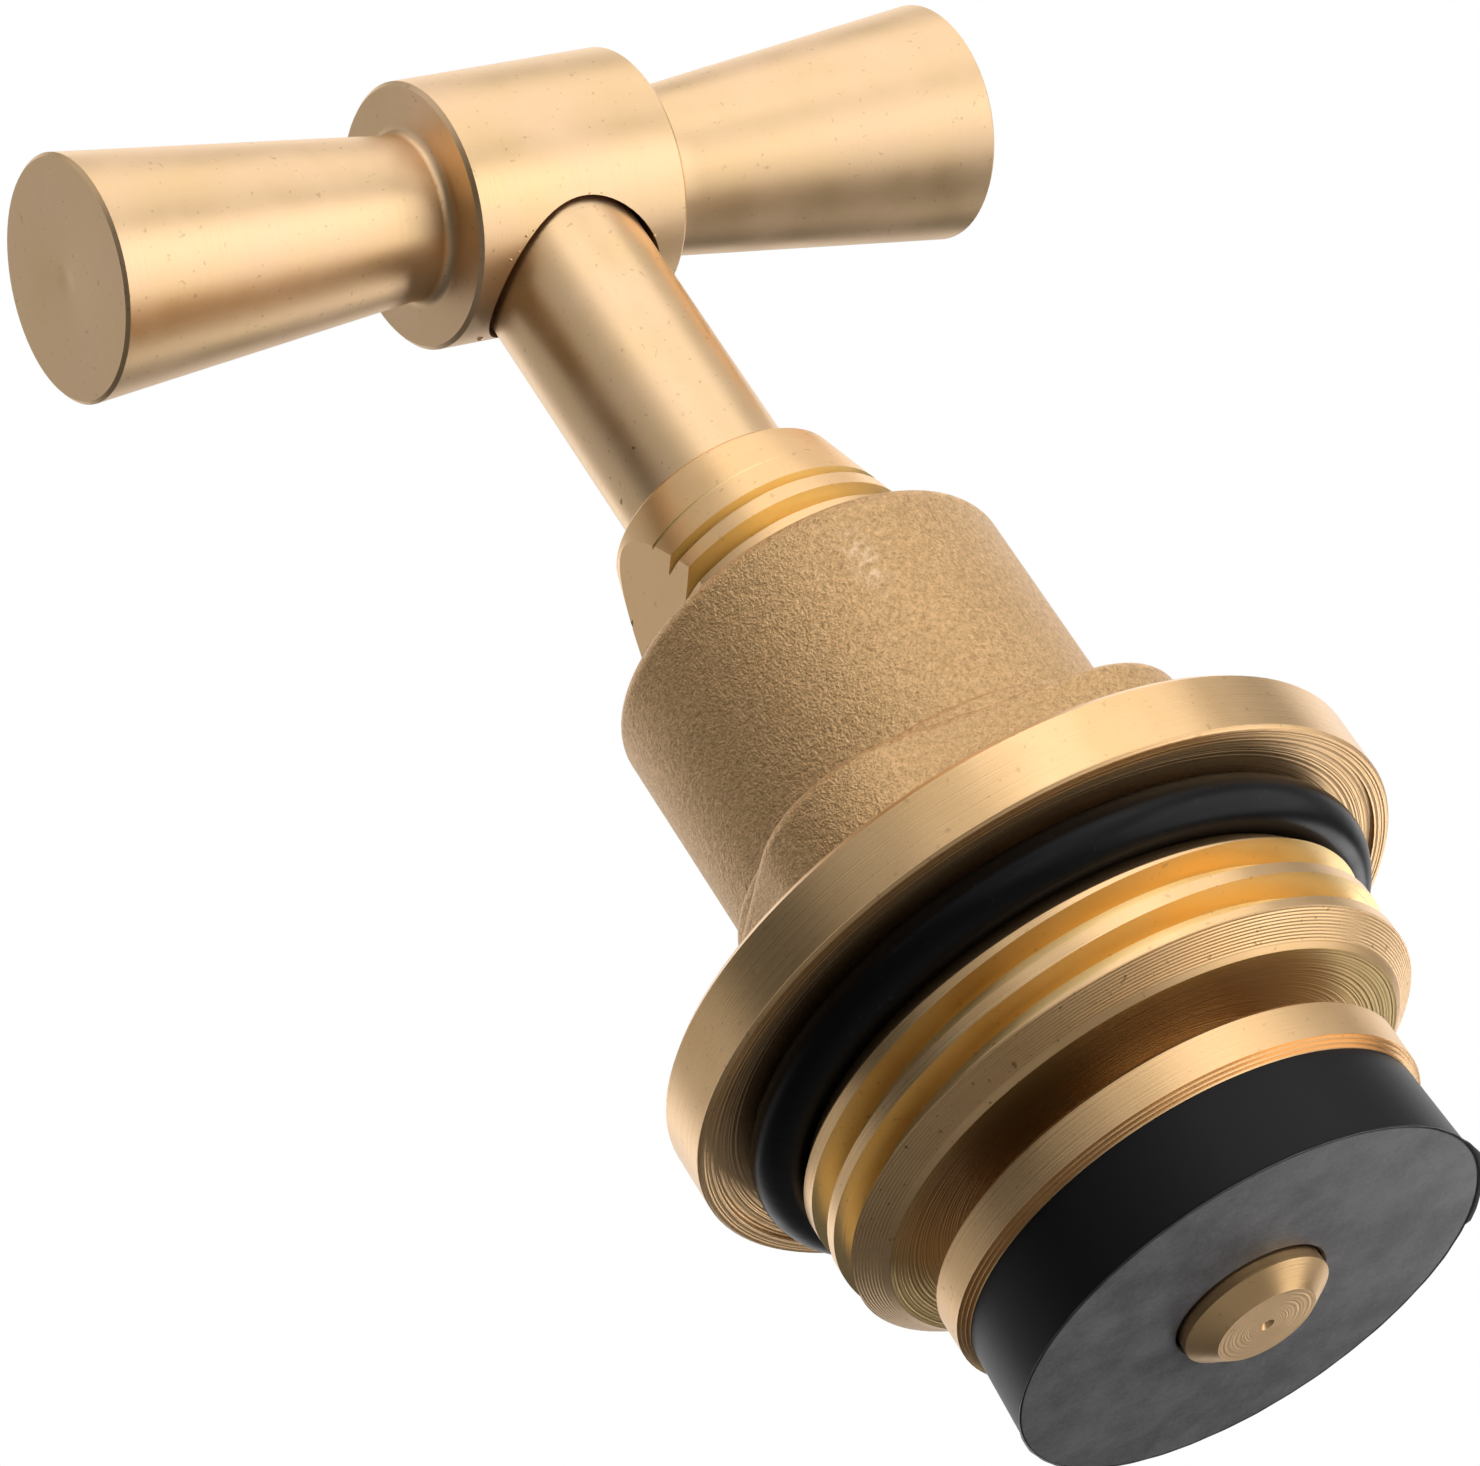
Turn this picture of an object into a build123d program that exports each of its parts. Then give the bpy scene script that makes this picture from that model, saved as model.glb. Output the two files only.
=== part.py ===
# Brass tap headgear: bonnet, screw-in gland, spindle with tee bar handle, jumper valve and washer.
# Millimetres. The axis is Z, the handle is at the top, and the body thread starts at Z = 0 and runs down.
import math
import os

from build123d import *

# Fits and gaps
running_fit = 0.05
loose_fit = 0.3
packing_fit = 0.02
ring_fit = 0.03
seat_gap = 0.1
cut_margin = 1.0

# Body thread and flange of the bonnet
thread_r = 13.22
thread_length = 3.8
thread_top_bevel = 0.7
end_chamfer_r = 1.35
end_chamfer_z = 1.07
flange_r = 16.35
flange_thickness = 3.1
flange_top_bevel = 0.3
flange_low_bevel = 0.12
flange_recess_r = 15.6
flange_recess_depth = 0.15

# Ring that seals the flange
o_ring_section_r = 1.22
o_ring_groove_r = 12.02
o_ring_low = 0.47

# Spanner block and cast barrel of the bonnet
block_width = 20.0
block_corner_r = 5.5
block_height = 5.4
block_edge_r = 0.7
cast_r = 9.25
cast_height = 20.7
cast_edge_r = 0.9
cast_foot_r = 0.6

# Bores of the bonnet
spindle_bore_r = 6.5
mouth_chamfer = 0.4
shoulder_thickness = 2.0
box_floor_height = 11.0
box_r = 6.8
box_chamfer = 0.3

# Lift of the spindle from the pose in the photo up to its stop
lift_up = 1.25
stop_gap = 0.3

# Spindle
spindle_r = 4.0
spindle_end_chamfer = 0.5
spindle_thread_chamfer = 0.6
drill_point_angle = 59.0

# Gland, its washer and the packing
packing_height = 2.2
gland_washer_height = 0.8
gland_washer_fit = 0.2
gland_nose_r = 5.4
gland_nose_height = 27.84
gland_nose_angle = 14.84
gland_nose_edge = 0.15
gland_end_chamfer = 0.5
gland_flat_width = 11.0
gland_flat_lift = 0.2
gland_turn = 5.2

# Tee bar handle
handle_height = 47.6
handle_turn = 9.6
handle_length = 45.2
barrel_r = 6.0
barrel_length = 10.8
barrel_chamfer = 0.18
arm_root_r = 3.7
arm_end_r = 5.48
arm_end_chamfer = 0.16
arm_root_fillet = 0.5
handle_hole_fit = 0.25
handle_hole_depth = 9.0
centre_mark_r = 0.9
centre_mark_depth = 0.06

# Cross pin of the handle
pin_r = 1.5
pin_fit = 0.01
pin_sink = 0.4
pin_front_wall = 1.2
pin_chamfer = 0.3

# Jumper valve
disc_gap = 1.7
disc_r = 10.82
disc_thickness = 2.26
disc_top_chamfer = 0.2
disc_step_r = 0.13
disc_step_height = 0.14
disc_steps = 3
stem_r = 3.0
stem_length = 11.0
stem_chamfer = 0.4
stud_r = 3.32
stud_groove_depth = 0.5
stud_below_washer = 0.48
stud_cone_height = 0.76
stud_end_r = 2.26
stud_mark_r = 0.34
stud_mark_depth = 0.28

# Split ring that keeps the jumper in the spindle
snap_ring_width = 0.8
snap_ring_thickness = 0.55
snap_ring_down = 2.0
snap_ring_gap_angle = 40.0

# Rubber washer
washer_height = 4.26
washer_top_r = 10.4
washer_low_r = 10.62
washer_edge_r = 0.08
washer_hole_fit = 0.07
washer_lip_height = 1.3
washer_mouth_r = 0.12

# Heights that follow from the sizes above; those named height are counted from the flange's lower face
relief_low = thread_top_bevel
flange_low = o_ring_low + 2 * o_ring_section_r + ring_fit
flange_top = flange_low + flange_thickness
o_ring_r = o_ring_groove_r + ring_fit + o_ring_section_r
o_ring_z = o_ring_low + o_ring_section_r
end_z = -thread_length - end_chamfer_z
end_face_r = thread_r - end_chamfer_r
block_top = flange_top + block_height
cast_top = flange_low + cast_height
box_floor = flange_low + box_floor_height
gland_nose_top = flange_low + gland_nose_height
handle_z = flange_low + handle_height
land_r = spindle_r + loose_fit
shoulder_z = box_floor - shoulder_thickness
disc_top = end_z - disc_gap
disc_low = disc_top - disc_thickness
washer_low = disc_low - washer_height
spindle_low = disc_top + seat_gap
spindle_collar = shoulder_z - lift_up - stop_gap
spindle_thread_r = spindle_bore_r - running_fit
stem_bore_r = stem_r + running_fit
stem_top = disc_top + stem_length
gland_low = box_floor + packing_height + gland_washer_height
gland_r = box_r - running_fit
gland_cone_low = gland_nose_top - (gland_r - gland_nose_r) / math.tan(math.radians(gland_nose_angle))
handle_hole_r = spindle_r + handle_hole_fit
handle_hole_top = handle_z - barrel_r + handle_hole_depth
spindle_top = handle_hole_top - seat_gap
arm_half = handle_length / 2
barrel_half = barrel_length / 2

# Planes turned about the axis: one holds the bar, one looks along the handle's cross pin
turn = math.radians(handle_turn)
bar_direction = Vector(math.cos(turn), math.sin(turn), 0)
pin_direction = Vector(-math.sin(turn), math.cos(turn), 0)
bar_plane = Plane(origin=(0, 0, handle_z), x_dir=bar_direction, z_dir=-pin_direction)
bar_axis = Axis((0, 0, handle_z), bar_direction)
pin_plane = Plane(origin=(0, 0, handle_z), x_dir=bar_direction, z_dir=pin_direction)
gland_flat_plane = Plane.XY.offset(cast_top + gland_flat_lift).rotated((0, 0, gland_turn))

# Bonnet: the spanner block first, so that its upper edges can be rounded on their own
with BuildPart() as bonnet:
    with BuildSketch(Plane.XY.offset(flange_top)):
        RectangleRounded(block_width, block_width, block_corner_r)
    extrude(amount=block_height)
    fillet(bonnet.faces().sort_by(Axis.Z)[-1].edges(), block_edge_r)
    # Turned and cast outline from the end face up to the top of the barrel
    with BuildSketch(Plane.XZ):
        with BuildLine():
            Polyline(
                (0, end_z),
                (end_face_r, end_z),
                (thread_r, -thread_length),
                (thread_r, 0),
                (thread_r - thread_top_bevel, relief_low),
                (o_ring_groove_r, relief_low),
                (o_ring_groove_r, flange_low + flange_recess_depth),
                (flange_recess_r, flange_low + flange_recess_depth),
                (flange_recess_r, flange_low),
                (flange_r - flange_low_bevel, flange_low),
                (flange_r, flange_low + flange_low_bevel),
                (flange_r, flange_top - flange_top_bevel),
                (flange_r - flange_top_bevel, flange_top),
                (cast_r + cast_foot_r, flange_top),
                (cast_r + cast_foot_r, block_top),
            )
            RadiusArc(
                (cast_r + cast_foot_r, block_top),
                (cast_r, block_top + cast_foot_r),
                -cast_foot_r,
            )
            Line((cast_r, block_top + cast_foot_r), (cast_r, cast_top - cast_edge_r))
            RadiusArc(
                (cast_r, cast_top - cast_edge_r),
                (cast_r - cast_edge_r, cast_top),
                -cast_edge_r,
            )
            Polyline((cast_r - cast_edge_r, cast_top), (0, cast_top), (0, end_z))
        make_face()
    revolve(axis=Axis.Z)
    # Bores: spindle thread from below, land under the stuffing box, stuffing box from above
    with BuildSketch(Plane.XZ):
        with BuildLine():
            Polyline(
                (0, end_z),
                (spindle_bore_r + mouth_chamfer, end_z),
                (spindle_bore_r, end_z + mouth_chamfer),
                (spindle_bore_r, shoulder_z),
                (land_r, shoulder_z),
                (land_r, box_floor),
                (box_r, box_floor),
                (box_r, cast_top - box_chamfer),
                (box_r + box_chamfer, cast_top),
                (0, cast_top),
                close=True,
            )
        make_face()
    revolve(axis=Axis.Z, mode=Mode.SUBTRACT)

# Ring in the relief under the flange
with BuildPart() as flange_o_ring:
    with BuildSketch(Plane.XZ):
        with Locations((o_ring_r, o_ring_z)):
            Circle(o_ring_section_r)
    revolve(axis=Axis.Z)

# Packing ring on the floor of the stuffing box
with BuildPart() as gland_packing:
    with BuildSketch(Plane.XY.offset(box_floor)):
        Circle(box_r - running_fit)
        Circle(spindle_r + packing_fit, mode=Mode.SUBTRACT)
    extrude(amount=packing_height)

# Thin washer between packing and gland
with BuildPart() as gland_washer:
    with BuildSketch(Plane.XY.offset(box_floor + packing_height)):
        Circle(box_r - gland_washer_fit)
        Circle(spindle_r + gland_washer_fit, mode=Mode.SUBTRACT)
    extrude(amount=gland_washer_height)

# Gland screw: a plain cylinder at thread size, a conical nose, a bore and two spanner flats
with BuildPart() as gland_screw:
    with BuildSketch(Plane.XZ):
        with BuildLine():
            Polyline(
                (spindle_r + running_fit, gland_low),
                (gland_r - gland_end_chamfer, gland_low),
                (gland_r, gland_low + gland_end_chamfer),
                (gland_r, gland_cone_low),
                (gland_nose_r, gland_nose_top - gland_nose_edge),
                (gland_nose_r - gland_nose_edge, gland_nose_top),
                (spindle_r + running_fit, gland_nose_top),
                close=True,
            )
        make_face()
    revolve(axis=Axis.Z)
    with BuildSketch(gland_flat_plane):
        Circle(gland_r + cut_margin)
        Rectangle(gland_flat_width, 2 * box_r + 2 * cut_margin, mode=Mode.SUBTRACT)
    extrude(amount=gland_nose_top - cast_top, mode=Mode.SUBTRACT)

# Spindle: threaded foot with a blind bore for the jumper's stem, and a plain shank with a pin hole
with BuildPart() as spindle:
    with BuildSketch(Plane.XZ):
        with BuildLine():
            Polyline(
                (0, spindle_low),
                (spindle_thread_r - spindle_thread_chamfer, spindle_low),
                (spindle_thread_r, spindle_low + spindle_thread_chamfer),
                (spindle_thread_r, spindle_collar - spindle_thread_chamfer),
                (spindle_thread_r - spindle_thread_chamfer, spindle_collar),
                (spindle_r, spindle_collar),
                (spindle_r, spindle_top - spindle_end_chamfer),
                (spindle_r - spindle_end_chamfer, spindle_top),
                (0, spindle_top),
                close=True,
            )
        make_face()
    revolve(axis=Axis.Z)
    stem_bore_top = stem_top + seat_gap
    with BuildSketch(Plane.XZ):
        with BuildLine():
            Polyline(
                (0, spindle_low),
                (stem_bore_r, spindle_low),
                (stem_bore_r, stem_bore_top),
                (0, stem_bore_top + stem_bore_r / math.tan(math.radians(drill_point_angle))),
                close=True,
            )
        make_face()
    revolve(axis=Axis.Z, mode=Mode.SUBTRACT)
    with BuildSketch(pin_plane):
        Circle(pin_r + pin_fit)
    extrude(amount=spindle_r + cut_margin, both=True, mode=Mode.SUBTRACT)

# Tee bar handle: one turned bar, with a blind hole for the spindle and a blind hole for the pin
with BuildPart() as tee_handle:
    with BuildSketch(bar_plane):
        with BuildLine():
            Polyline(
                (0, 0),
                (0, barrel_r),
                (barrel_half - barrel_chamfer, barrel_r),
                (barrel_half, barrel_r - barrel_chamfer),
                (barrel_half, arm_root_r + arm_root_fillet),
            )
            RadiusArc(
                (barrel_half, arm_root_r + arm_root_fillet),
                (barrel_half + arm_root_fillet, arm_root_r),
                -arm_root_fillet,
            )
            Polyline(
                (barrel_half + arm_root_fillet, arm_root_r),
                (arm_half - arm_end_chamfer, arm_end_r),
                (arm_half, arm_end_r - arm_end_chamfer),
                (arm_half, centre_mark_r),
                (arm_half - centre_mark_depth, 0),
                (0, 0),
            )
        make_face()
        mirror(about=Plane.YZ)
    revolve(axis=bar_axis)
    with BuildSketch(Plane.XY.offset(handle_z - barrel_r - cut_margin)):
        Circle(handle_hole_r)
    extrude(amount=handle_hole_depth + cut_margin, mode=Mode.SUBTRACT)
    with BuildSketch(pin_plane.offset(pin_front_wall - barrel_r)):
        Circle(pin_r + pin_fit)
    extrude(amount=2 * barrel_r, mode=Mode.SUBTRACT)

# Cross pin, sunk a little below the barrel on the far side
with BuildPart() as handle_pin:
    with BuildSketch(pin_plane.offset(pin_front_wall - barrel_r + seat_gap)):
        Circle(pin_r)
    extrude(amount=2 * barrel_r - pin_front_wall - seat_gap - pin_sink - pin_fit)
    chamfer(handle_pin.edges().filter_by(GeomType.CIRCLE), pin_chamfer)

# Jumper valve: stem with a ring groove, disc with a stepped lower edge, stud with a groove for the washer
ring_groove_top = stem_top - snap_ring_down
ring_groove_low = ring_groove_top - snap_ring_width - seat_gap
ring_groove_r = stem_bore_r - ring_fit - snap_ring_thickness - ring_fit
snap_ring_r = ring_groove_r + ring_fit + snap_ring_thickness / 2
snap_ring_z = (ring_groove_top + ring_groove_low) / 2
stud_groove_r = stud_r - stud_groove_depth
stud_groove_top = (disc_low + washer_low + washer_lip_height + seat_gap) / 2
stud_groove_low = stud_groove_top - washer_lip_height - seat_gap
stud_shoulder = washer_low - stud_below_washer
stud_end = stud_shoulder - stud_cone_height
steps = [(disc_r, disc_low + disc_steps * disc_step_height)]
for step in range(disc_steps, 0, -1):
    step_r = disc_r - disc_step_r * (disc_steps + 1 - step)
    steps.append((step_r, disc_low + step * disc_step_height))
    steps.append((step_r, disc_low + (step - 1) * disc_step_height))
with BuildPart() as jumper_valve:
    with BuildSketch(Plane.XZ):
        with BuildLine():
            Polyline(
                (0, stem_top),
                (stem_r - stem_chamfer, stem_top),
                (stem_r, stem_top - stem_chamfer),
                (stem_r, ring_groove_top),
                (ring_groove_r, ring_groove_top),
                (ring_groove_r, ring_groove_low),
                (stem_r, ring_groove_low),
                (stem_r, disc_top),
                (disc_r - disc_top_chamfer, disc_top),
                (disc_r, disc_top - disc_top_chamfer),
                *steps,
                (stud_r, disc_low),
                (stud_r, stud_groove_top),
                (stud_groove_r, stud_groove_top),
                (stud_groove_r, stud_groove_low),
                (stud_r, stud_groove_low),
                (stud_r, stud_shoulder),
                (stud_end_r, stud_end),
                (stud_mark_r, stud_end),
                (0, stud_end + stud_mark_depth),
                close=True,
            )
        make_face()
    revolve(axis=Axis.Z)

# Split ring in the stem's groove
with BuildPart() as jumper_snap_ring:
    with BuildSketch(Plane.XZ):
        with Locations((snap_ring_r, snap_ring_z)):
            Rectangle(snap_ring_thickness, snap_ring_width)
    revolve(axis=Axis.Z, revolution_arc=360 - snap_ring_gap_angle)

# Rubber washer, pushed over the stud so that its inner lip sits in the stud's groove
washer_hole_r = stud_r + washer_hole_fit
washer_lip_r = stud_groove_r + ring_fit
lip_top = stud_groove_top - seat_gap / 2
lip_low = lip_top - washer_lip_height
with BuildPart() as valve_washer:
    with BuildSketch(Plane.XZ):
        with BuildLine():
            Polyline(
                (washer_hole_r, disc_low),
                (washer_top_r, disc_low),
                (washer_low_r, washer_low + washer_edge_r),
                (washer_low_r - washer_edge_r, washer_low),
                (washer_hole_r + washer_mouth_r, washer_low),
                (washer_hole_r, washer_low + washer_mouth_r),
                (washer_hole_r, lip_low),
                (washer_lip_r, lip_low),
                (washer_lip_r, lip_top),
                (washer_hole_r, lip_top),
                close=True,
            )
        make_face()
    revolve(axis=Axis.Z)

# One file for each piece
os.makedirs("parts", exist_ok=True)
pieces = {
    "bonnet": bonnet,
    "flange_o_ring": flange_o_ring,
    "gland_packing": gland_packing,
    "gland_washer": gland_washer,
    "gland_screw": gland_screw,
    "spindle": spindle,
    "tee_handle": tee_handle,
    "handle_pin": handle_pin,
    "jumper_valve": jumper_valve,
    "jumper_snap_ring": jumper_snap_ring,
    "valve_washer": valve_washer,
}
for piece_name, piece in pieces.items():
    piece.part.label = piece_name
    export_step(piece.part, "parts/" + piece_name + ".step")
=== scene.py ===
import math

import bmesh
import bpy
from mathutils import Matrix, Vector


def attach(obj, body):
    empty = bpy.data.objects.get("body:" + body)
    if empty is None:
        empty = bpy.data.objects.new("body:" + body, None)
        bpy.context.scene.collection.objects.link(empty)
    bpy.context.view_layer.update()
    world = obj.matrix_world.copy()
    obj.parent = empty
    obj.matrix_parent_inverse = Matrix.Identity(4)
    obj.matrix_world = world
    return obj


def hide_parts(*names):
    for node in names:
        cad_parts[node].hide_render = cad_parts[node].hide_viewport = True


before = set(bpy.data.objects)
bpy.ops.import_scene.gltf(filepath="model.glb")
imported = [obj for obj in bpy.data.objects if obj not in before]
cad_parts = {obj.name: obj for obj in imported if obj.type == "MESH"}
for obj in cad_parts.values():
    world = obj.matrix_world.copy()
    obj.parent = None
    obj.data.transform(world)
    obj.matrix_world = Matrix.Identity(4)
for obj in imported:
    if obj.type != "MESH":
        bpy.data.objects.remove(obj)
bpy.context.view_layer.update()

# Sizes of the part are in millimetres and turned into metres by this factor; stage and lights are in metres
MM = 0.001

# Body thread of the bonnet, in the frame of the CAD: it starts near height 0 and runs down
thread_r = 13.22
thread_length = 3.8
thread_bevel = 0.7
thread_crest_top = -0.15
thread_start = 0.18
thread_run_out = -3.6
thread_end_r = 11.87
thread_end_height = -4.87
thread_pitch = 1.814
thread_depth = 1.1
thread_root_width = 0.45
thread_groove_width = 1.28
thread_groove_height = -1.05
thread_groove_turn = math.radians(-105.0)
thread_inner_r = 11.0
chamfer_line_pitch = 0.085
chamfer_line_low = -4.6

# Gland: bore, end, nose, spanner flats and thread
gland_bore_r = 4.05
gland_low = 16.94
gland_chamfer = 0.5
gland_r = 6.75
gland_nose_r = 5.4
gland_nose_top = 30.78
gland_nose_angle = math.radians(14.84)
gland_nose_edge = 0.15
gland_flat_half = 5.5
gland_flat_low = 23.84
gland_turn = math.radians(5.2)
gland_pitch = 1.5
gland_root_r = 5.93
gland_root_width = 0.10
gland_groove_width = 0.95
gland_groove_height = 26.95
gland_groove_turn = math.radians(-149.0)

# Washer: thin moulding flash round its lower edge, widest on one side; waves are (count round, phase)
washer_r = 10.62
washer_low = -13.09
flash_root = 0.06
flash_thickness = 0.12
flash_width = 0.05
flash_ripple = 0.03
flash_waves = [(7, 0.0), (19, 1.0), (43, 2.0)]
flash_tongue = 0.22
flash_tongue_from = math.radians(-36.0)
flash_tongue_to = math.radians(4.0)
flash_tongue_rise = math.radians(10.0)

# Axis of all turned pieces but the handle, and a scale that leaves distances as they are
origin = (0.0, 0.0, 0.0)
upright = (0.0, 0.0, 1.0)
whole_scale = (1.0, 1.0, 1.0)

# Material places on a threaded piece: its own finish comes first, then that of its thread grooves
groove_slot = 1

# Sockets of a mix node by the kind that it mixes: first, second and result
mix_sockets = {"RGBA": (6, 7, 2), "FLOAT": (2, 3, 0)}

# Fineness of turned and wound surfaces
round_steps = 360
run_out_steps = 50
cut_margin = 0.4

# Heights where one finish of a piece gives way to another, and how fast
flange_recess_top = 3.1
flange_top = 6.04
finish_fade = 0.1
edge_fade = 0.025
washer_face_fade = 0.04
washer_face_full = 0.01

# Noise where a finish asks for no other detail
noise_detail = 3.0
noise_roughness = 0.5

# Finish of turned brass: noise scales per metre, depths in millimetres
line_scale = 9000.0
line_detail = 2.0
tarnish_scale = 260.0
tarnish_detail = 4.0
tarnish_limits = (0.22, 0.78)
speck_scale = 3200.0
speck_detail = 1.0
speck_limits = (0.69, 0.77)
turned_roughness = 0.23
bar_roughness = 0.285
line_roughness = 0.12
tarnish_roughness = 0.14
line_strength = 0.8
bar_line_depth = 0.002
spindle_line_depth = 0.0025
jumper_line_depth = 0.008
groove_line_depth = 0.004
speck_share = 0.25
lip_speck_share = 0.6
pit_patch_share = 0.9
pit_patch_place = (-3.7, -1.5, 32.5)
pit_patch_limits = (3.5, 1.0)

# Finish of the bonnet: cast grain, turned rim, matte lip and lined face under the flange
grain_scale = 8500.0
grain_share = 0.6
pit_scale = 3600.0
pit_share = 0.5
cast_detail = 3.0
cast_crispness = 0.6
cast_limits = (0.36, 0.70)
cast_depth = 0.17
cast_strength = 0.9
cast_roughness = 0.41
rim_line_depth = 0.003
under_line_depth = 0.03
under_roughness = 0.42
lip_roughness = 0.4
lip_ridge_depth = 0.012
lip_ridge_strength = 0.8

# Pale rub mark on the cast barrel
rub_place = (-0.7, -9.2, 20.2)
rub_squeeze = (1.0, 1.0, 0.4)
rub_limits = (0.9, 0.3)
rub_scale = 2600.0
rub_patch_limits = (0.45, 0.62)

# Finish of the rubber: dust and unevenness of the flange ring, wear of the washer's lower face
dust_scale = 2600.0
dust_detail = 2.0
dust_limits = (0.66, 0.80)
dust_share = 0.5
ring_cloud_scale = 400.0
ring_cloud_roughness = 0.2
ring_roughness = 0.22
ring_bump_scale = 1200.0
ring_bump_depth = 0.02
blotch_scale = 420.0
blotch_detail = 5.0
blotch_roughness = 0.6
blotch_share = 0.75
wear_scale = 5200.0
wear_detail = 2.0
wear_share = 0.25
worn_limits = (0.38, 0.62)
washer_side_roughness = 0.40
washer_face_roughness = 0.34
washer_bump_depth = 0.03
rubber_bump_strength = 0.5

# Finish of pieces that are mostly out of sight
hidden_scale = 900.0
hidden_bump_depth = 0.01
hidden_bump_strength = 0.5
steel_roughness = 0.3
packing_roughness = 0.7

# Handle: centre height and turn of the bar
handle_height = 50.54
handle_turn = math.radians(9.6)

# Burrs round the hole for the spindle: turn in degrees, distance out from the rim, radius
barrel_r = 6.0
handle_hole_r = 4.25
burr_shape = (1.0, 0.75, 0.6)
burr_subdivisions = 1
burrs = [
    (-206.0, 0.45, 0.17),
    (-139.0, 0.30, 0.10),
    (-133.0, 0.12, 0.08),
    (-124.0, 0.20, 0.11),
    (-119.0, 0.08, 0.08),
    (-76.0, 0.05, 0.07),
    (-68.0, 0.08, 0.06),
    (-22.0, 0.02, 0.10),
]

# Camera, fitted to the photograph
camera_place = Vector((-113.189, -212.486, -112.665)) * MM
camera_forward = Vector((0.39583, 0.77892, 0.48641))
camera_up = Vector((0.30391, -0.61094, 0.73102))
camera_focal_pixels = 6494.2
image_width = 1480
sensor_width = 36.0
camera_clip = (0.01, 50.0)

# Smoothing, welding and finding the thread's wall
sharp_angle = math.radians(28.0)
fine_sharp_angle = math.radians(9.0)
weld_distance = 0.002 * MM
thread_flat_limit = 0.005

# Colours, linear
brass_light = (0.95, 0.672, 0.425, 1.0)
brass_deep = (0.80, 0.548, 0.284, 1.0)
rim_light = (0.96, 0.64, 0.34, 1.0)
rim_deep = (0.83, 0.53, 0.252, 1.0)
# Cast grain: deep in the grain's low points, partly the cast skin's own tone and partly painted shade of
# its hollows
cast_light = (0.91, 0.592, 0.298, 1.0)
cast_deep = (0.49, 0.288, 0.125, 1.0)
groove_gold = (0.96, 0.72, 0.36, 1.0)
groove_deep = (0.92, 0.65, 0.29, 1.0)
# Painted shade: dark brown given to the recessed end face under the lip, where shade falls next to the disc
end_face_shade = (0.52, 0.355, 0.13, 1.0)
pit_brown = (0.20, 0.11, 0.045, 1.0)
ring_black = (0.004, 0.004, 0.005, 1.0)
ring_grey = (0.030, 0.030, 0.034, 1.0)
washer_black = (0.006, 0.0055, 0.0065, 1.0)
washer_face_dark = (0.110, 0.106, 0.110, 1.0)
washer_face_light = (0.205, 0.200, 0.204, 1.0)
steel_dark = (0.40, 0.40, 0.42, 1.0)
steel_light = (0.60, 0.60, 0.62, 1.0)
packing_dark = (0.55, 0.53, 0.48, 1.0)
packing_light = (0.75, 0.73, 0.68, 1.0)
floor_colour = (0.86, 0.86, 0.85, 1.0)
floor_pale = (0.90, 0.90, 0.89, 1.0)
white = (1.0, 1.0, 1.0, 1.0)

# Gloss of the flange ring and of the washer, as the shader's specular level
ring_gloss = 0.19
washer_gloss = 0.19

# Stage: the floor lies below the photo's view; the floor's glow is for the camera alone, and the backdrop's
# limits are cosines of the angle away from the camera's view, between which its white begins
floor_height = -1.0
floor_half = 15.0
floor_scale = 3.0
floor_detail = 2.0
floor_roughness = 0.8
floor_glow = 0.95
world_fill = 0.075
backdrop_limits = (0.65, 0.85)

# Lights: their place right, up and back of the object as the camera sees it, power and size
look_at = Vector((0.0, 0.0, 0.017))
wide = 0.75
narrow = 0.22
lights = {
    "right_up_front": ((0.30, 0.27, 0.44), 0.72, wide),
    "up_front": ((0.0, 0.42, 0.42), 0.56, wide),
    "right": ((0.58, 0.06, 0.12), 1.87, wide),
    "top": ((0.06, 0.59, 0.06), 1.25, wide),
    "left_top": ((-0.39, 0.45, 0.06), 0.63, wide),
    "right_top": ((0.42, 0.42, 0.06), 0.32, wide),
    "right_up_back": ((0.36, 0.27, -0.40), 0.30, wide),
    "left_back": ((-0.48, 0.0, -0.36), 0.55, wide),
    "up_back": ((0.0, 0.48, -0.36), 0.61, wide),
    "right_low_back": ((0.37, -0.30, -0.37), 0.42, narrow),
}


# Geometry helpers


def finish_piece(mesh, name, body, slot_name, finishes, *nodes, sharp=sharp_angle):
    """Makes an object of a mesh, smooths it up to its sharp edges and hides the CAD nodes that it takes the
    place of.
    """
    put_finishes(mesh, finishes)
    for polygon in mesh.polygons:
        polygon.use_smooth = True
    mesh.set_sharp_from_angle(angle=sharp)
    piece = bpy.data.objects.new(name, mesh)
    bpy.context.scene.collection.objects.link(piece)
    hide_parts(*nodes)
    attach(piece, body)
    return piece


def put_finishes(mesh, finishes):
    """Fills the mesh's material places, leaving each face at the place it has."""
    for place, finish in enumerate(finishes):
        if place < len(mesh.materials):
            mesh.materials[place] = finish
        else:
            mesh.materials.append(finish)


def copied_mesh(node):
    """A welded copy of a CAD node's mesh, without its stored normals."""
    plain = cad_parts[node].data.copy()
    stored = plain.attributes.get("custom_normal")
    if stored is not None:
        plain.attributes.remove(stored)
    work = bmesh.new()
    work.from_mesh(plain)
    bpy.data.meshes.remove(plain)
    bmesh.ops.remove_doubles(work, verts=work.verts, dist=weld_distance)
    return work


def to_mesh(work, name):
    """A mesh of the finished work, with all faces turned outwards."""
    mesh = bpy.data.meshes.new(name)
    bmesh.ops.recalc_face_normals(work, faces=work.faces)
    work.to_mesh(mesh)
    work.free()
    return mesh


def round_place(radius, angle, height):
    """A point at a radius, angle and height about the Z axis, in metres."""
    return (radius * math.cos(angle) * MM, radius * math.sin(angle) * MM, height * MM)


def ring_points(work, radius, height):
    """A level ring of vertices round the Z axis."""
    ring = []
    for step in range(round_steps):
        angle = 2 * math.pi * step / round_steps
        ring.append(work.verts.new(round_place(radius, angle, height)))
    return ring


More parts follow.
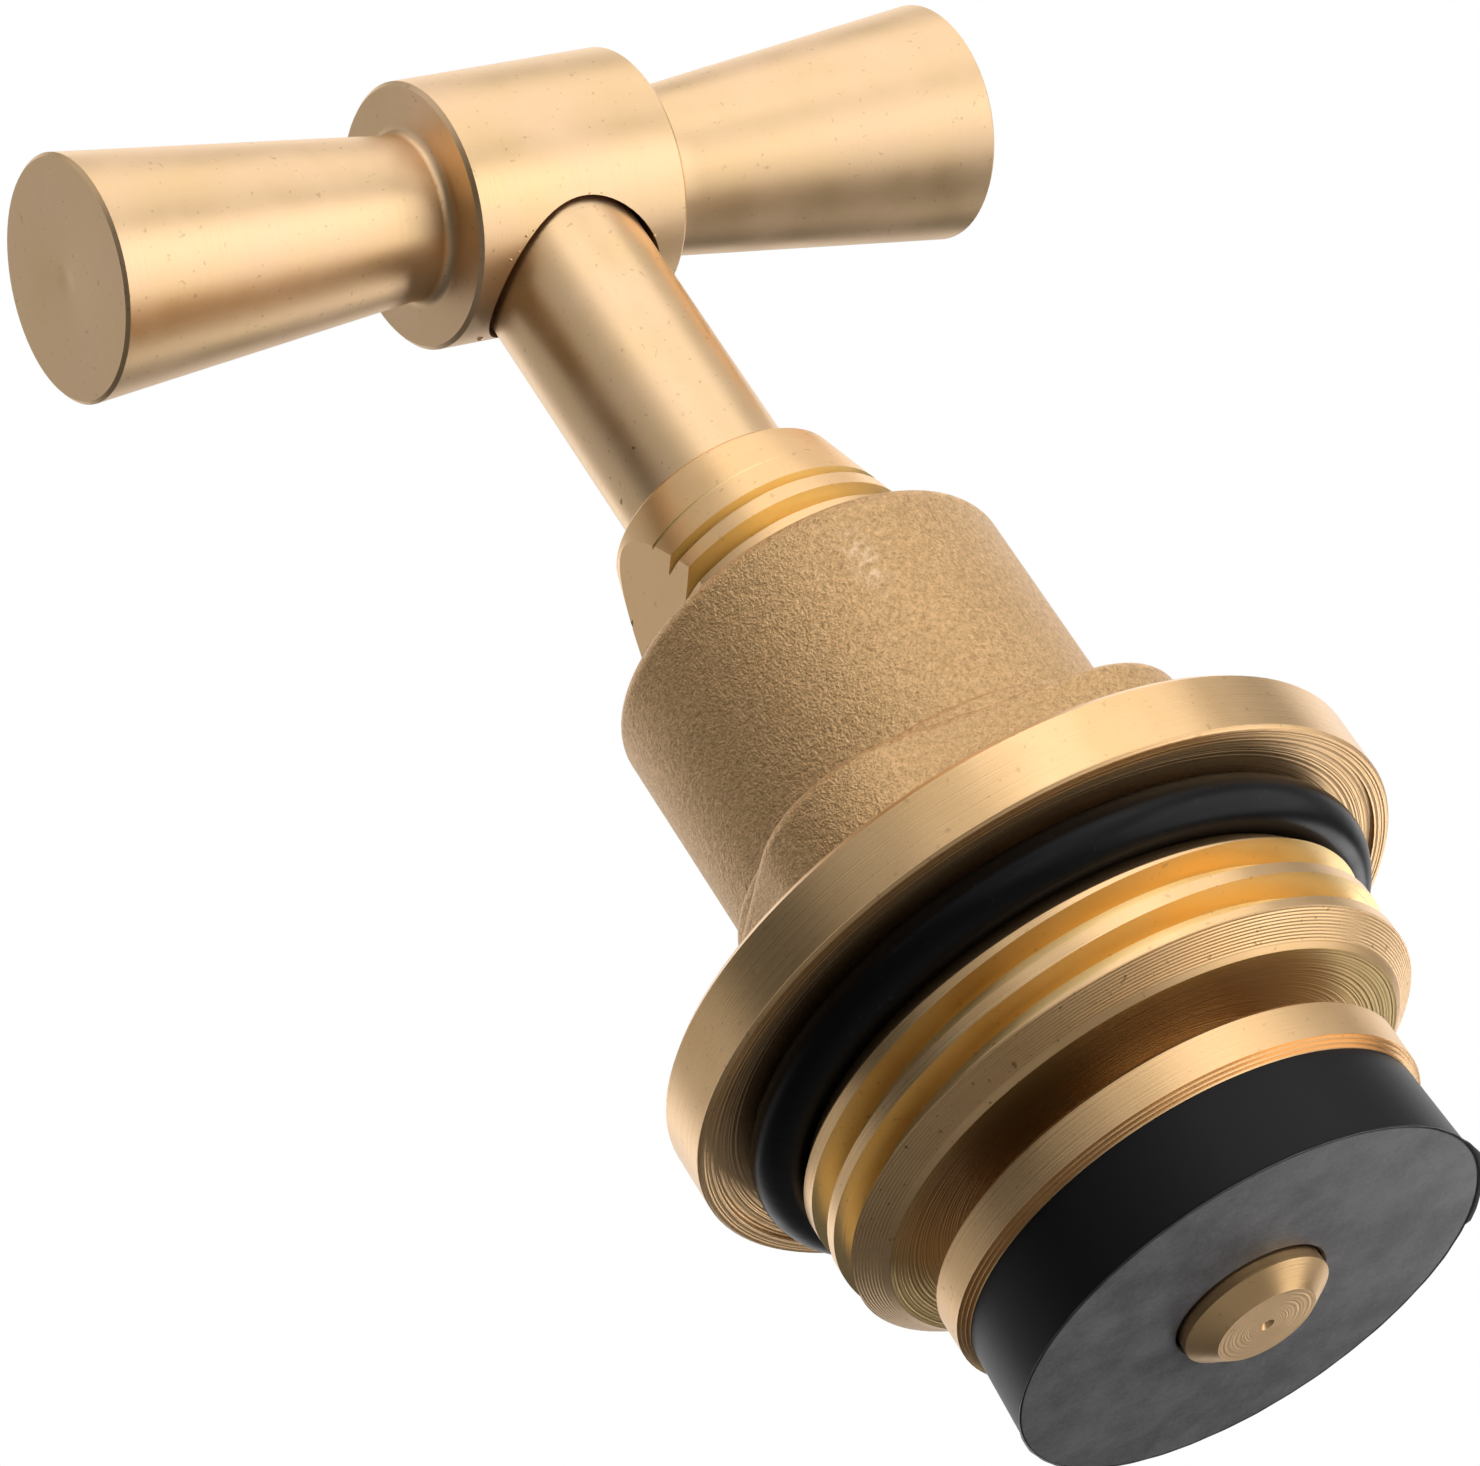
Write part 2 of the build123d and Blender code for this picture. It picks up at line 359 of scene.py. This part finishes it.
def bridge(work, first, second, closed=True):
    """Joins two rows of equal count with quads."""
    count = len(first)
    for step in range(count if closed else count - 1):
        after = (step + 1) % count
        work.faces.new((first[step], first[after], second[after], second[step]))


def turned_ring(outline):
    """A closed ring turned about the Z axis from an outline of (radius, height)."""
    work = bmesh.new()
    rings = [ring_points(work, radius, height) for radius, height in outline]
    for first, second in zip(rings, rings[1:] + rings[:1]):
        bridge(work, first, second)
    return to_mesh(work, "turned_ring")


def thread_cutter(crest_r, root_r, root_width, groove_width, pitch, height, turn, low, high):
    """A right-hand helical bar of tapered section, lifted off at both ends, that cuts a thread's groove."""
    slope = (groove_width - root_width) / 2 / (crest_r - root_r)
    outer_r = crest_r + cut_margin
    outer_half = groove_width / 2 + slope * cut_margin
    section = [
        (root_r, -root_width / 2),
        (outer_r, -outer_half),
        (outer_r, outer_half),
        (root_r, root_width / 2),
    ]
    first = math.floor((low - height) / pitch * round_steps)
    last = math.ceil((high - height) / pitch * round_steps)
    work = bmesh.new()
    rails = [[] for point in section]
    for step in range(first, last + 1):
        angle = turn + 2 * math.pi * step / round_steps
        rise = height + pitch * step / round_steps
        fade = min(1.0, (step - first) / run_out_steps, (last - step) / run_out_steps)
        lift = (crest_r - root_r + cut_margin) * (1 - fade)
        for rail, (radius, shift) in zip(rails, section):
            rail.append(work.verts.new(round_place(radius + lift, angle, rise + shift)))
    for rail, following in zip(rails, rails[1:] + rails[:1]):
        bridge(work, rail, following, closed=False)
    work.faces.new([rail[0] for rail in rails])
    work.faces.new([rail[-1] for rail in reversed(rails)])
    cutter = to_mesh(work, "thread_cutter")
    for polygon in cutter.polygons:
        polygon.material_index = groove_slot
    return cutter


def cut(mesh, finishes, *cutters):
    """The mesh with the cutters taken away from it; cut faces keep the cutter's material place."""
    for part in (mesh, *cutters):
        put_finishes(part, finishes)
    body = bpy.data.objects.new("cut_body", mesh)
    bpy.context.scene.collection.objects.link(body)
    helpers = [body]
    for cutter in cutters:
        tool = bpy.data.objects.new("cut_tool", cutter)
        bpy.context.scene.collection.objects.link(tool)
        helpers.append(tool)
        modifier = body.modifiers.new("cut", "BOOLEAN")
        modifier.operation = "DIFFERENCE"
        modifier.solver = "EXACT"
        modifier.object = tool
    bpy.context.view_layer.update()
    graph = bpy.context.evaluated_depsgraph_get()
    result = bpy.data.meshes.new_from_object(body.evaluated_get(graph))
    for helper in helpers:
        spent = helper.data
        bpy.data.objects.remove(helper)
        bpy.data.meshes.remove(spent)
    return result


def box_mesh(low, high, turn):
    """A box between two corners in millimetres, turned about the Z axis."""
    work = bmesh.new()
    bmesh.ops.create_cube(work, size=1.0)
    size = [b - a for a, b in zip(low, high)]
    middle = [(a + b) / 2 for a, b in zip(low, high)]
    place = Matrix.Rotation(turn, 4, "Z") @ Matrix.Translation(Vector(middle) * MM)
    work.transform(place @ Matrix.Diagonal(Vector(size) * MM).to_4x4())
    return to_mesh(work, "box_cutter")


# Pieces


def is_thread_wall(face):
    """Whether a face lies on the thread between the end face and the relief, and faces outwards."""
    heights = [vertex.co.z / MM for vertex in face.verts]
    centre = face.calc_center_median() / MM
    level = max(heights) - min(heights) < thread_flat_limit
    inside = thread_end_height + thread_flat_limit < centre.z < thread_bevel - thread_flat_limit
    return inside and not level and math.hypot(centre.x, centre.y) > thread_end_r - thread_flat_limit


def make_bonnet(*finishes):
    """The CAD bonnet with its plain thread wall taken out and a wound thread put in its place."""
    outline = [
        (thread_inner_r, thread_end_height),
        (thread_end_r, thread_end_height),
        (thread_r, -thread_length),
        (thread_r, thread_crest_top),
        (thread_r - thread_bevel, thread_bevel),
        (thread_inner_r, thread_bevel),
    ]
    cutter = thread_cutter(
        thread_r,
        thread_r - thread_depth,
        thread_root_width,
        thread_groove_width,
        thread_pitch,
        thread_groove_height,
        thread_groove_turn,
        thread_run_out,
        thread_start,
    )
    wound = cut(turned_ring(outline), finishes, cutter)
    work = copied_mesh("bonnet")
    plain_wall = [face for face in work.faces if is_thread_wall(face)]
    bmesh.ops.delete(work, geom=plain_wall, context="FACES")
    thread = bmesh.new()
    thread.from_mesh(wound)
    surplus = [face for face in thread.faces if not is_thread_wall(face)]
    bmesh.ops.delete(thread, geom=surplus, context="FACES")
    thread.to_mesh(wound)
    thread.free()
    work.from_mesh(wound)
    bpy.data.meshes.remove(wound)
    mesh = to_mesh(work, "bonnet_cast")
    return finish_piece(mesh, "bonnet_cast", "bonnet_body", "cast_brass", finishes, "bonnet")


def make_gland(*finishes):
    """The gland as one closed sleeve with thread grooves and flats."""
    cone_low = gland_nose_top - (gland_r - gland_nose_r) / math.tan(gland_nose_angle)
    outline = [
        (gland_bore_r, gland_low),
        (gland_r - gland_chamfer, gland_low),
        (gland_r, gland_low + gland_chamfer),
        (gland_r, cone_low),
        (gland_nose_r, gland_nose_top - gland_nose_edge),
        (gland_nose_r - gland_nose_edge, gland_nose_top),
        (gland_bore_r, gland_nose_top),
    ]
    thread = thread_cutter(
        gland_r,
        gland_root_r,
        gland_root_width,
        gland_groove_width,
        gland_pitch,
        gland_groove_height,
        gland_groove_turn,
        gland_flat_low - gland_pitch,
        gland_nose_top - cut_margin,
    )
    reach = 2 * gland_r
    top = gland_nose_top + cut_margin
    sides = [
        box_mesh((gland_flat_half, -reach, gland_flat_low), (reach, reach, top), gland_turn),
        box_mesh((-reach, -reach, gland_flat_low), (-gland_flat_half, reach, top), gland_turn),
    ]
    mesh = cut(cut(turned_ring(outline), finishes, *sides), finishes, thread)
    names = ("gland_nose", "bonnet_body", "turned_brass")
    return finish_piece(mesh, *names, finishes, "gland_screw", sharp=fine_sharp_angle)


def make_handle(*finishes):
    """The CAD handle with small burrs round the hole for the spindle."""
    work = copied_mesh("tee_handle")
    for turn, out, size in burrs:
        angle = math.radians(turn)
        x = (handle_hole_r + out) * math.cos(angle)
        y = (handle_hole_r + out) * math.sin(angle)
        across = y * math.cos(handle_turn) - x * math.sin(handle_turn)
        height = handle_height - math.sqrt(barrel_r**2 - across**2)
        place = Matrix.Translation(Vector((x, y, height)) * MM) @ Matrix.Rotation(angle, 4, "X")
        shape = place @ Matrix.Diagonal(burr_shape).to_4x4()
        bmesh.ops.create_icosphere(work, subdivisions=burr_subdivisions, radius=size * MM, matrix=shape)
    mesh = to_mesh(work, "tee_bar")
    return finish_piece(mesh, "tee_bar", "spindle_body", "turned_brass", finishes, "tee_handle")


def flash_reach(angle):
    """How far the washer's flash stands out at an angle: a ripple, and a tongue with one abrupt end."""
    ripple = sum(math.sin(count * angle + phase) for count, phase in flash_waves)
    along = (angle - flash_tongue_from) / flash_tongue_rise
    tongue = min(1.0, max(0.0, along)) if angle < flash_tongue_to else 0.0
    return flash_width + flash_ripple * ripple / len(flash_waves) + flash_tongue * tongue


def make_washer(*finishes):
    """The CAD washer with a thin, uneven flash round its lower edge."""
    work = copied_mesh("valve_washer")
    corners = [[], [], [], []]
    for step in range(round_steps):
        angle = 2 * math.pi * step / round_steps - math.pi
        outer = washer_r + flash_reach(angle)
        section = [
            (washer_r - flash_root, washer_low + flash_root),
            (outer, washer_low),
            (outer, washer_low + flash_thickness / 2),
            (washer_r - flash_root, washer_low + flash_root + flash_thickness),
        ]
        for corner, (radius, height) in zip(corners, section):
            corner.append(work.verts.new(round_place(radius, angle, height)))
    for first, second in zip(corners, corners[1:] + corners[:1]):
        bridge(work, first, second)
    mesh = to_mesh(work, "rubber_washer")
    return finish_piece(mesh, "rubber_washer", "jumper_body", "washer_rubber", finishes, "valve_washer")


def make_copy(node, name, body, slot_name, *finishes):
    """A smoothed copy of a CAD node under the scene's own name."""
    return finish_piece(to_mesh(copied_mesh(node), name), name, body, slot_name, finishes, node)


# Materials


class NodeTree:
    """Adds and links the nodes of a material or a world."""

    def __init__(self, owner):
        owner.use_nodes = True
        self.nodes = owner.node_tree.nodes
        self.links = owner.node_tree.links

    def add(self, kind, **settings):
        node = self.nodes.new(kind)
        for key, value in settings.items():
            setattr(node, key, value)
        return node

    def put(self, value, socket):
        """Links an output to a socket, or sets the socket to a plain value."""
        if hasattr(value, "is_linked"):
            self.links.new(value, socket)
        else:
            socket.default_value = value

    def math(self, operation, first, second=0.0, third=0.0):
        node = self.add("ShaderNodeMath", operation=operation)
        for socket, value in zip(node.inputs, (first, second, third)):
            self.put(value, socket)
        return node.outputs["Value"]

    def vector(self, operation, first, second=None):
        node = self.add("ShaderNodeVectorMath", operation=operation)
        self.put(first, node.inputs[0])
        if second is not None:
            self.put(second, node.inputs[1])
        return node

    def ramp(self, value, low, high, bottom=0.0, top=1.0):
        """Maps a value from low..high to bottom..top, clamped."""
        node = self.add("ShaderNodeMapRange")
        self.put(value, node.inputs["Value"])
        self.put(low, node.inputs["From Min"])
        self.put(high, node.inputs["From Max"])
        self.put(bottom, node.inputs["To Min"])
        self.put(top, node.inputs["To Max"])
        return node.outputs["Result"]


class Shader(NodeTree):
    """One material, with its surface shader and the place on the piece."""

    def __init__(self, name):
        self.material = bpy.data.materials.new(name)
        super().__init__(self.material)
        self.surface = self.nodes["Principled BSDF"]
        self.place = self.add("ShaderNodeTexCoord").outputs["Object"]

    def noise(self, scale, detail=noise_detail, roughness=noise_roughness):
        node = self.add("ShaderNodeTexNoise")
        self.put(self.place, node.inputs["Vector"])
        self.put(scale, node.inputs["Scale"])
        self.put(detail, node.inputs["Detail"])
        self.put(roughness, node.inputs["Roughness"])
        return node.outputs["Fac"]

    def mix(self, share, first, second, kind="RGBA"):
        """Mixes two colours, or two plain numbers where the kind is FLOAT."""
        node = self.add("ShaderNodeMix", data_type=kind)
        first_socket, second_socket, result = mix_sockets[kind]
        self.put(share, node.inputs["Factor"])
        self.put(first, node.inputs[first_socket])
        self.put(second, node.inputs[second_socket])
        return node.outputs[result]

    def blend(self, share, first, second):
        """Mixes two plain numbers."""
        return self.mix(share, first, second, "FLOAT")

    def between(self, value, low, high, fade):
        """1 where a value in metres lies between two sizes in millimetres, falling to 0 beyond them."""
        above = self.ramp(value, (low - fade) * MM, low * MM)
        below = self.ramp(value, (high + fade) * MM, high * MM)
        return self.math("MULTIPLY", above, below)

    def bump(self, value, distance, strength=1.0, normal=None):
        node = self.add("ShaderNodeBump")
        self.put(value, node.inputs["Height"])
        self.put(distance, node.inputs["Distance"])
        self.put(strength, node.inputs["Strength"])
        if normal is not None:
            self.put(normal, node.inputs["Normal"])
        return node.outputs["Normal"]

    def near(self, centre, scale, far, close):
        """0 beyond a far distance from a place, 1 within a close one, in scaled millimetres."""
        shifted = self.vector("SUBTRACT", self.place, Vector(centre) * MM).outputs["Vector"]
        scaled = self.vector("MULTIPLY", shifted, scale).outputs["Vector"]
        return self.ramp(self.vector("LENGTH", scaled).outputs["Value"], far * MM, close * MM)

    def round_axis(self, centre, axis):
        """Distance along an axis and distance away from it, in metres."""
        shifted = self.vector("SUBTRACT", self.place, centre).outputs["Vector"]
        along = self.vector("DOT_PRODUCT", shifted, axis).outputs["Value"]
        length = self.vector("LENGTH", shifted).outputs["Value"]
        whole = self.math("MULTIPLY", length, length)
        square = self.math("SUBTRACT", whole, self.math("MULTIPLY", along, along))
        return along, self.math("SQRT", self.math("MAXIMUM", square, 0.0))

    def lines(self, along, away):
        """Lines that a lathe leaves: they change along the axis and with the distance from it."""
        node = self.add("ShaderNodeTexNoise", noise_dimensions="1D")
        self.put(self.math("ADD", along, away), node.inputs["W"])
        self.put(line_scale, node.inputs["Scale"])
        self.put(line_detail, node.inputs["Detail"])
        return node.outputs["Fac"]

    def set(self, colour, roughness, metallic=0.0, normal=None):
        self.put(colour, self.surface.inputs["Base Color"])
        self.put(roughness, self.surface.inputs["Roughness"])
        self.put(metallic, self.surface.inputs["Metallic"])
        if normal is not None:
            self.put(normal, self.surface.inputs["Normal"])
        return self.material


def turned_brass(name, centre, axis, light, deep, line_depth, base_roughness=turned_roughness):
    """Satin brass with fine turning lines, faint tarnish and dark pits, most of them in one patch."""
    shader = Shader(name)
    lines = shader.lines(*shader.round_axis(centre, axis))
    tarnish = shader.ramp(shader.noise(tarnish_scale, tarnish_detail), *tarnish_limits)
    specks = shader.ramp(shader.noise(speck_scale, speck_detail), *speck_limits)
    colour = shader.mix(tarnish, deep, light)
    patch = shader.near(pit_patch_place, whole_scale, *pit_patch_limits)
    pitted = shader.blend(patch, speck_share, pit_patch_share)
    colour = shader.mix(shader.math("MULTIPLY", specks, pitted), colour, pit_brown)
    roughness = shader.math("MULTIPLY_ADD", lines, line_roughness, base_roughness)
    roughness = shader.math("MULTIPLY_ADD", tarnish, tarnish_roughness, roughness)
    normal = shader.bump(lines, line_depth * MM, line_strength)
    return shader.set(colour, roughness, 1.0, normal)


def cast_brass(name):
    """Sand-cast brass above the flange, turned brass from the flange down, with shade painted on the
    recessed end face by the disc.
    """
    shader = Shader(name)
    along, away = shader.round_axis(origin, upright)
    cast_share = shader.ramp(along, (flange_top - finish_fade) * MM, flange_top * MM)
    under_share = shader.between(along, thread_crest_top, flange_recess_top, edge_fade)
    end_share = shader.ramp(along, (thread_end_height + edge_fade) * MM, thread_end_height * MM)
    lined_share = shader.math("MAXIMUM", under_share, end_share)
    lip_share = shader.between(along, thread_end_height, -thread_length, finish_fade)
    ridge_share = shader.between(along, chamfer_line_low, -thread_length, finish_fade)
    grain = shader.noise(grain_scale, cast_detail, cast_crispness)
    pits = shader.noise(pit_scale, cast_detail, cast_crispness)
    rough = shader.math("MULTIPLY_ADD", grain, grain_share, shader.math("MULTIPLY", pits, pit_share))
    # The grain's colour darkens into its low points: the cast skin's tone, deepened as painted shade of the
    # hollows
    cast_colour = shader.mix(shader.ramp(rough, *cast_limits), cast_deep, cast_light)
    rub = shader.near(rub_place, rub_squeeze, *rub_limits)
    patches = shader.ramp(shader.noise(rub_scale), *rub_patch_limits)
    cast_colour = shader.mix(shader.math("MULTIPLY", rub, patches), cast_colour, brass_light)
    lines = shader.lines(along, away)
    tarnish = shader.ramp(shader.noise(tarnish_scale, tarnish_detail), *tarnish_limits)
    specks = shader.ramp(shader.noise(speck_scale, speck_detail), *speck_limits)
    pitted = shader.blend(lip_share, speck_share, lip_speck_share)
    turned_colour = shader.mix(tarnish, rim_deep, rim_light)
    turned_colour = shader.mix(shader.math("MULTIPLY", specks, pitted), turned_colour, pit_brown)
    # Painted shade: the recessed end face under the lip is coloured dark brown
    turned_colour = shader.mix(end_share, turned_colour, end_face_shade)
    colour = shader.mix(cast_share, turned_colour, cast_colour)
    roughness = shader.math("MULTIPLY_ADD", lines, line_roughness, turned_roughness)
    roughness = shader.blend(lip_share, roughness, lip_roughness)
    roughness = shader.blend(lined_share, roughness, under_roughness)
    roughness = shader.blend(cast_share, roughness, cast_roughness)
    ridge_rate = 2 * math.pi / (chamfer_line_pitch * MM)
    ridges = shader.math("SINE", shader.math("MULTIPLY", along, ridge_rate))
    turned_share = shader.math("SUBTRACT", 1.0, cast_share)
    normal = shader.bump(rough, cast_depth * MM, shader.math("MULTIPLY", cast_share, cast_strength))
    normal = shader.bump(lines, rim_line_depth * MM, turned_share, normal)
    normal = shader.bump(lines, under_line_depth * MM, lined_share, normal)
    ridge_strength = shader.math("MULTIPLY", ridge_share, lip_ridge_strength)
    normal = shader.bump(ridges, lip_ridge_depth * MM, ridge_strength, normal)
    return shader.set(colour, roughness, 1.0, normal)


def ring_rubber(name):
    """Black rubber of the flange ring, a little glossy, with a dusting."""
    shader = Shader(name)
    dust = shader.ramp(shader.noise(dust_scale, dust_detail), *dust_limits)
    cloud = shader.noise(ring_cloud_scale)
    colour = shader.mix(shader.math("MULTIPLY", dust, dust_share), ring_black, ring_grey)
    roughness = shader.math("MULTIPLY_ADD", cloud, ring_cloud_roughness, ring_roughness)
    normal = shader.bump(shader.noise(ring_bump_scale), ring_bump_depth * MM, rubber_bump_strength)
    shader.surface.inputs["Specular IOR Level"].default_value = ring_gloss
    return shader.set(colour, roughness, 0.0, normal)


def washer_rubber(name):
    """Black moulded sides and a grey, worn lower face."""
    shader = Shader(name)
    along = shader.round_axis(origin, upright)[0]
    face_start = (washer_low + washer_face_fade) * MM
    face_full = (washer_low + washer_face_full) * MM
    face_share = shader.ramp(along, face_start, face_full)
    blotches = shader.noise(blotch_scale, blotch_detail, blotch_roughness)
    grain = shader.math("MULTIPLY", shader.noise(wear_scale, wear_detail), wear_share)
    worn = shader.math("MULTIPLY_ADD", blotches, blotch_share, grain)
    face_colour = shader.mix(shader.ramp(worn, *worn_limits), washer_face_dark, washer_face_light)
    colour = shader.mix(face_share, washer_black, face_colour)
    roughness = shader.blend(face_share, washer_side_roughness, washer_face_roughness)
    normal = shader.bump(worn, washer_bump_depth * MM, rubber_bump_strength)
    shader.surface.inputs["Specular IOR Level"].default_value = washer_gloss
    return shader.set(colour, roughness, 0.0, normal)


def plain_noise(name, dark, light, roughness, metallic):
    """A simple clouded finish for pieces that are mostly out of sight."""
    shader = Shader(name)
    cloud = shader.noise(hidden_scale)
    normal = shader.bump(cloud, hidden_bump_depth * MM, hidden_bump_strength)
    return shader.set(shader.mix(cloud, dark, light), roughness, metallic, normal)


# Stage


def make_floor():
    """A wide level floor that the camera sees as pale, whatever light reaches it."""
    mesh = bpy.data.meshes.new("floor")
    corners = [(-1, -1), (1, -1), (1, 1), (-1, 1)]
    points = [(x * floor_half, y * floor_half, floor_height) for x, y in corners]
    mesh.from_pydata(points, [], [range(len(points))])
    floor = bpy.data.objects.new("floor", mesh)
    bpy.context.scene.collection.objects.link(floor)
    shader = Shader("floor_matte")
    cloud = shader.noise(floor_scale, floor_detail)
    seen = shader.add("ShaderNodeLightPath").outputs["Is Camera Ray"]
    shader.put(floor_pale, shader.surface.inputs["Emission Color"])
    shader.put(shader.math("MULTIPLY", seen, floor_glow), shader.surface.inputs["Emission Strength"])
    mesh.materials.append(shader.set(shader.mix(cloud, floor_colour, floor_pale), floor_roughness))


def make_camera():
    """The camera of the photograph; gives its right, up and back directions."""
    data = bpy.data.cameras.new("photo_camera")
    data.sensor_width = sensor_width
    data.lens = camera_focal_pixels * sensor_width / image_width
    data.clip_start, data.clip_end = camera_clip
    camera = bpy.data.objects.new("photo_camera", data)
    back = -camera_forward.normalized()
    right = camera_up.cross(back).normalized()
    up = back.cross(right)
    facing = Matrix((right, up, back)).transposed().to_4x4()
    camera.matrix_world = Matrix.Translation(camera_place) @ facing
    bpy.context.scene.collection.objects.link(camera)
    bpy.context.scene.camera = camera
    return right, up, back


def make_light(name, offset, power, size, right, up, back):
    """A round lamp that faces the object."""
    data = bpy.data.lights.new(name, "AREA")
    data.shape = "DISK"
    data.size = size
    data.energy = power
    light = bpy.data.objects.new(name, data)
    light.location = look_at + right * offset[0] + up * offset[1] + back * offset[2]
    light.rotation_mode = "QUATERNION"
    light.rotation_quaternion = (look_at - light.location).to_track_quat("-Z", "Y")
    bpy.context.scene.collection.objects.link(light)


def make_world():
    """White to the camera and, where the backdrop stands, in the gloss; a low even fill to all else."""
    world = bpy.data.worlds.new("studio")
    bpy.context.scene.world = world
    tree = NodeTree(world)
    background = tree.nodes["Background"]
    path = tree.add("ShaderNodeLightPath").outputs
    way = tree.add("ShaderNodeTexCoord").outputs["Generated"]
    facing = tree.vector("DOT_PRODUCT", way, camera_forward).outputs["Value"]
    behind = tree.ramp(facing, *backdrop_limits)
    polished = tree.math("MAXIMUM", path["Is Glossy Ray"], path["Is Transmission Ray"])
    shown = tree.math("MULTIPLY_ADD", polished, behind, path["Is Camera Ray"])
    tree.put(white, background.inputs["Color"])
    tree.put(tree.ramp(shown, 0.0, 1.0, world_fill, 1.0), background.inputs["Strength"])


# Finishes
rim_brass = (rim_light, rim_deep)
pale_brass = (brass_light, brass_deep)
groove_brass = (groove_gold, groove_deep)
bar_centre = (0.0, 0.0, handle_height * MM)
bar_axis = (math.cos(handle_turn), math.sin(handle_turn), 0.0)
bar_place = (bar_centre, bar_axis)
bar_finish = turned_brass("turned_brass_bar", *bar_place, *pale_brass, bar_line_depth, bar_roughness)
spindle_finish = turned_brass("turned_brass_spindle", origin, upright, *pale_brass, spindle_line_depth)
jumper_finish = turned_brass("turned_brass_jumper", origin, upright, *rim_brass, jumper_line_depth)
gland_finish = turned_brass("turned_brass_gland", origin, upright, *rim_brass, spindle_line_depth)
groove_finish = turned_brass("turned_brass_groove", origin, upright, *groove_brass, groove_line_depth)
steel_finish = plain_noise("drawn_steel", steel_dark, steel_light, steel_roughness, 1.0)
packing_finish = plain_noise("packing_fibre", packing_dark, packing_light, packing_roughness, 0.0)

# Pieces that the scene makes, then finishes of CAD nodes that stay as they are
make_bonnet(cast_brass("bonnet_brass"), groove_finish)
make_gland(gland_finish, groove_finish)
make_handle(bar_finish)
make_copy("spindle", "spindle_bar", "spindle_body", "turned_brass", spindle_finish)
make_copy("jumper_valve", "jumper_disc", "jumper_body", "turned_brass", jumper_finish)
make_copy("flange_o_ring", "flange_ring", "bonnet_body", "black_rubber", ring_rubber("ring_rubber"))
make_washer(washer_rubber("washer_rubber"))

hidden = {
    "gland_washer": gland_finish,
    "gland_packing": packing_finish,
    "handle_pin": steel_finish,
    "jumper_snap_ring": steel_finish,
}
for node, finish in hidden.items():
    put_finishes(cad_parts[node].data, [finish])

# Floor, camera and light
make_floor()
right, up, back = make_camera()
for light_name, settings in lights.items():
    make_light(light_name, *settings, right, up, back)
make_world()

scene = bpy.context.scene
scene.view_settings.view_transform = "Standard"
